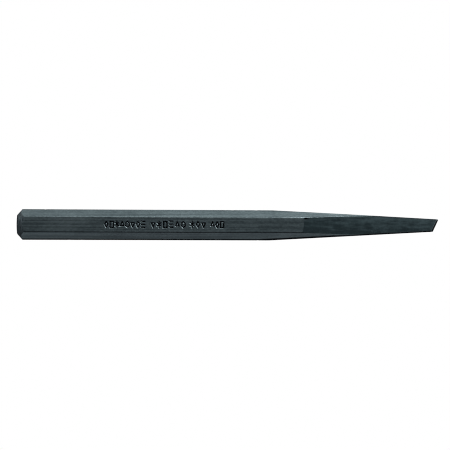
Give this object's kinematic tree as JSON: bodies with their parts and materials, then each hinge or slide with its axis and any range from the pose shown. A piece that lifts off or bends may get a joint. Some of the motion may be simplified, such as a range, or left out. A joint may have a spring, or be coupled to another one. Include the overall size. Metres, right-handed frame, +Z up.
{
  "type": "hexagonal hand punch",
  "caption": "Hexagonal steel hand punch with a chamfered struck end and a long ground square taper that ends in a slanted, diamond-shaped face.",
  "frame": {"origin": "on the flat that the bar lies on, below the middle of the bar's length and width", "axes": "+X along the bar towards the working end, +Z up out of the opposite flat, +Y towards the corner of the hexagon on whose side the working end leads"},
  "size_m": [0.2064, 0.0146, 0.0127],
  "materials": {
    "black_oxide_steel": "black oxide over milled bar, satin on the hexagon and duller where it is ground"
  },
  "bodies": {
    "root": {"punch_body": "black_oxide_steel"}
  },
  "joints": []
}
